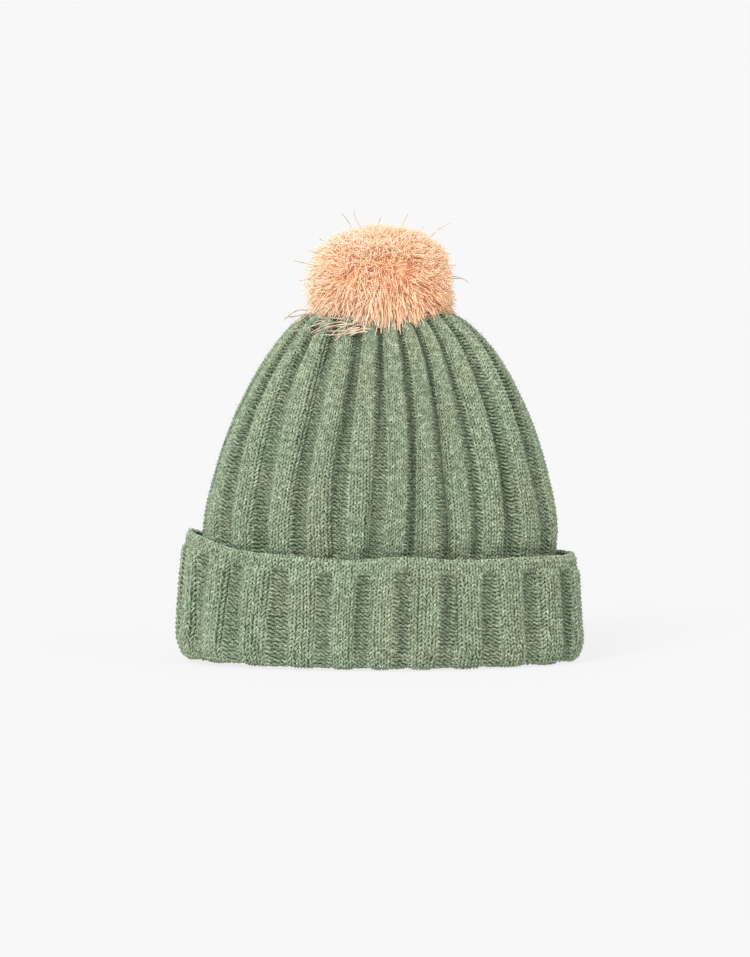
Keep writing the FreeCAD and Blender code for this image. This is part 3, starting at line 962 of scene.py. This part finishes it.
# long strands that the trimming missed: degrees round from the right, and how far out
STRAYS = ((103, 0.012), (114, 0.010), (72, 0.007), (59, 0.0085), (46, 0.014), (139, 0.0065),
          (164, 0.0095), (183, 0.0055), (0, 0.006), (-7, 0.009), (88, 0.005), (152, 0.005),
          (28, 0.006), (172, 0.004), (12, 0.004))
STRAY_RADIUS = 0.00028
far = np.linspace(0, 1, 12)
stray_rows = []
for degrees, out_by in STRAYS:
    angle = math.radians(degrees)
    aim = np.array([math.cos(angle), draw.uniform(-0.35, 0.35), math.sin(angle)])
    edge = aim * pom_reach / np.linalg.norm(aim)
    root = edge * 0.55
    bend = draw.normal(0, 0.0042, 3)
    end = edge * (1 + out_by / np.linalg.norm(edge))
    path = pom_middle + root + (end - root) * far[:, None]
    stray_rows.append(path + bend * (np.sin(2.6 * far) ** 2)[:, None] * far[:, None])
stray_hair, stray_shader, stray_wire = finish_of("frayed_beige_strands", 0.7, 0.3, (1, 0.95, 0.9))
pale = noise(stray_wire, stray_wire.node("ShaderNodeTexCoord", output="Object"), 300.0)
feed(stray_shader, Base_Color=stray_wire.node("ShaderNodeValToRGB", {"stops": (
    (0.35, (0.42, 0.30, 0.22)), (0.65, (0.72, 0.58, 0.44)))}, {"Fac": pale}))
strays = yarns("stray_strands", np.array(stray_rows), STRAY_RADIUS, stray_hair, sides=4,
               closed=False, thick=1.2 - 0.5 * far, columns=4)

# a lock of frayed strands that lies over the front of the crown, to the left
LOCK_STRANDS = 26
LOCK_RADIUS = 0.00032
shapes, _ = through(crown_line, np.linspace(collar, lip, 120))
lock_rows = []
for _ in range(LOCK_STRANDS):
    x = draw.uniform(-0.041, -0.005)
    z = top + 0.0012 - 0.26 * (x + 0.041) + draw.normal(0, 0.0012)
    reach = (draw.uniform(0.009, 0.021), draw.uniform(0.0005, 0.0075))
    line = np.stack([x - reach[0] * far, 0 * far, z - reach[1] * far**1.4], -1)
    line[:, 2] += draw.normal(0, 0.0011) * np.sin(math.pi * far)
    wide_here = np.interp(line[:, 2], shapes[:, 2], shapes[:, 0])
    deep_here = np.interp(line[:, 2], shapes[:, 2], shapes[:, 1])
    front = np.sqrt(np.maximum(1 - (line[:, 0] / wide_here) ** 2, 0.02))
    line[:, 1] = -deep_here * front - 0.0042 - draw.uniform(0, 0.0022)
    lock_rows.append(line)
lock = yarns("frayed_lock", np.array(lock_rows), LOCK_RADIUS, stray_hair, sides=4,
             closed=False, thick=1.2 - 0.5 * far, columns=4)
for piece in (pom_heart, strays, lock):
    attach(piece, "pom")
    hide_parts("pom_tuft")

# ----------------------------------------
# Care label: a blank woven tape folded double, sewn in by its two ends at the back seam,
# so that its fold hangs inside the hat.
label_low, label_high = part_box("care_label")
LABEL_LAYER = 0.00022
tape, tape_shader, weave = finish_of("blank_woven_tape", 0.6, 0.1, (1, 1, 1))
tape_place = weave.node("ShaderNodeTexCoord", output="Object")
warp_threads = weave.node("ShaderNodeTexWave", {"wave_type": "BANDS", "bands_direction": "X"},
                          {"Vector": tape_place, "Scale": 420.0, "Distortion": 0.3}, "Fac")
weft_threads = weave.node("ShaderNodeTexWave", {"wave_type": "BANDS", "bands_direction": "Z"},
                          {"Vector": tape_place, "Scale": 300.0, "Distortion": 0.3}, "Fac")
woven = warp_threads * 0.5 + weft_threads * 0.5
feed(tape_shader, Base_Color=weave.node("ShaderNodeValToRGB", {"stops": (
    (0.2, (0.62, 0.60, 0.55)), (0.8, (0.86, 0.85, 0.80)))}, {"Fac": woven}),
    Normal=weave.node("ShaderNodeBump", {}, {
        "Strength": 0.6, "Distance": 0.0002, "Height": woven}))
label_deep = label_high.y - label_low.y
label_tall = label_high.z - label_low.z
fold = label_deep / 2 - LABEL_LAYER / 2
drop = np.linspace(0, 1, 26)
bend = np.linspace(0, math.pi, 9)[1:-1]
middle_y = (label_low.y + label_high.y) / 2
open_by = fold * (0.35 + 0.65 * np.sin(math.pi / 2 * drop) ** 2)
line_y = np.concatenate([middle_y - open_by, middle_y - fold * np.cos(bend),
                         middle_y + open_by[::-1]])
line_z = np.concatenate([
    label_high.z - (label_tall - fold - LABEL_LAYER) * drop,
    label_low.z + LABEL_LAYER + fold * (1 - np.sin(bend)),
    label_high.z - (label_tall - fold - LABEL_LAYER) * drop[::-1]])
across = np.linspace(label_low.x, label_high.x, 25)
label_grid = np.stack(np.broadcast_arrays(
    across[None, :], line_y[:, None], line_z[:, None]), -1)
run_y, run_z = np.gradient(line_y), np.gradient(line_z)
face_y, face_z = run_z / np.hypot(run_y, run_z), -run_y / np.hypot(run_y, run_z)
normal = np.stack([0 * face_y, face_y, face_z], -1)[:, None, :]
label = skin("blank_care_label", label_grid + normal * LABEL_LAYER / 2,
             label_grid - normal * LABEL_LAYER / 2, False, tape)
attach(label, "label")
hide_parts("care_label")

# ----------------------------------------
# Label stitches: five stitches of pale thread over the tape's top edge into the seam.
stitch_low, stitch_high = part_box("label_stitches")
STITCHES = 5
THREAD_RADIUS = 0.00032
thread, thread_shader, thread_wire = finish_of("pale_sewing_thread", 0.6, 0.1, (1, 1, 1))
feed(thread_shader, Base_Color=thread_wire.node("ShaderNodeValToRGB", {"stops": (
    (0.3, (0.60, 0.58, 0.52)), (0.7, (0.84, 0.82, 0.76)))},
    {"Fac": noise(thread_wire, thread_wire.node("ShaderNodeTexCoord", output="Object"), 900.0)}))
t = np.linspace(0, math.pi, 14)
stitch_rows = []
for number in range(STITCHES):
    x = stitch_low.x + 0.0005 + (stitch_high.x - stitch_low.x - 0.001) * number / (STITCHES - 1)
    near_y, far_y = label_low.y - 0.0004, stitch_high.y
    stitch_rows.append(np.stack([
        x + 0.0005 * np.cos(t), (near_y + far_y) / 2 - (far_y - near_y) / 2 * np.cos(t),
        label_high.z - 0.0016 + 0.0032 * np.sin(t)], -1))
stitches = yarns("thread_stitches", np.array(stitch_rows), THREAD_RADIUS, thread, sides=6,
                 closed=False)
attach(stitches, "crown")
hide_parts("label_stitches")

# ----------------------------------------
# Studio: a pale floor that runs out into a pale surround, soft light from the upper left.
PAPER = 0.94
SHADE_SHARE = 0.08  # of the floor's brightness is lit, so that shadows stay faint
WINDOW = 3.0
FILL = 1.0
WINDOW_SPREAD = math.radians(26)
FILL_SPREAD = math.radians(60)
FLOOR_REACH = 9.0
FLOOR_CORNERS = 64
floor_mesh = bpy.data.meshes.new("floor")
t = np.linspace(0, 2 * math.pi, FLOOR_CORNERS, endpoint=False)
rim_points = [(FLOOR_REACH * math.cos(a), FLOOR_REACH * math.sin(a), 0.0) for a in t]
floor_mesh.from_pydata(rim_points, [], [tuple(range(FLOOR_CORNERS))])
floor = bpy.data.objects.new("floor", floor_mesh)
bpy.context.scene.collection.objects.link(floor)
paper, paper_shader, _ = finish_of("pale_paper", 0.9, 0.0, (1, 1, 1))
paper_shader.inputs["Specular IOR Level"].default_value = 0.0
window_from = Vector((-0.70, -1.15, 1.05)).normalized()
fill_from = Vector((1.3, -1.1, 0.45)).normalized()
lit = PAPER + (WINDOW * window_from.z + FILL * fill_from.z) / math.pi
paper_shader.inputs["Base Color"].default_value = (SHADE_SHARE, SHADE_SHARE, SHADE_SHARE, 1)
paper_shader.inputs["Emission Color"].default_value = (1, 1, 1, 1)
paper_shader.inputs["Emission Strength"].default_value = PAPER - SHADE_SHARE * lit
floor_mesh.materials.append(paper)

world = bpy.data.worlds.new("studio")
world.use_nodes = True
bpy.context.scene.world = world
world.node_tree.nodes["Background"].inputs["Color"].default_value = (1.0, 1.0, 1.0, 1)
world.node_tree.nodes["Background"].inputs["Strength"].default_value = PAPER
bpy.context.scene.view_settings.view_transform = "Standard"


def sun(name, source, power, spread):
    """Even light from one direction, softened by a wide source."""
    light = bpy.data.lights.new(name, "SUN")
    light.angle = spread
    light.energy = power
    item = bpy.data.objects.new(name, light)
    bpy.context.scene.collection.objects.link(item)
    item.rotation_euler = source.to_track_quat("Z", "Y").to_euler()


sun("window", window_from, WINDOW, WINDOW_SPREAD)
sun("fill", fill_from, FILL, FILL_SPREAD)

# the camera stands well back and a little above, level with the middle of the hat
FAR = 2.6
SENSOR = 36
VIEW_HEIGHT = 0.533
ELEVATION = math.radians(4)
AIM = Vector((-0.0028, 0.0, 0.1015))
camera_data = bpy.data.cameras.new("camera")
camera_data.sensor_fit = "VERTICAL"
camera_data.sensor_height = SENSOR
camera_data.lens = SENSOR * FAR / VIEW_HEIGHT
camera_data.clip_end = 60
camera = bpy.data.objects.new("camera", camera_data)
bpy.context.scene.collection.objects.link(camera)
bpy.context.scene.camera = camera
camera.location = AIM + FAR * Vector((0, -math.cos(ELEVATION), math.sin(ELEVATION)))
camera.rotation_euler = (math.pi / 2 - ELEVATION, 0, 0)
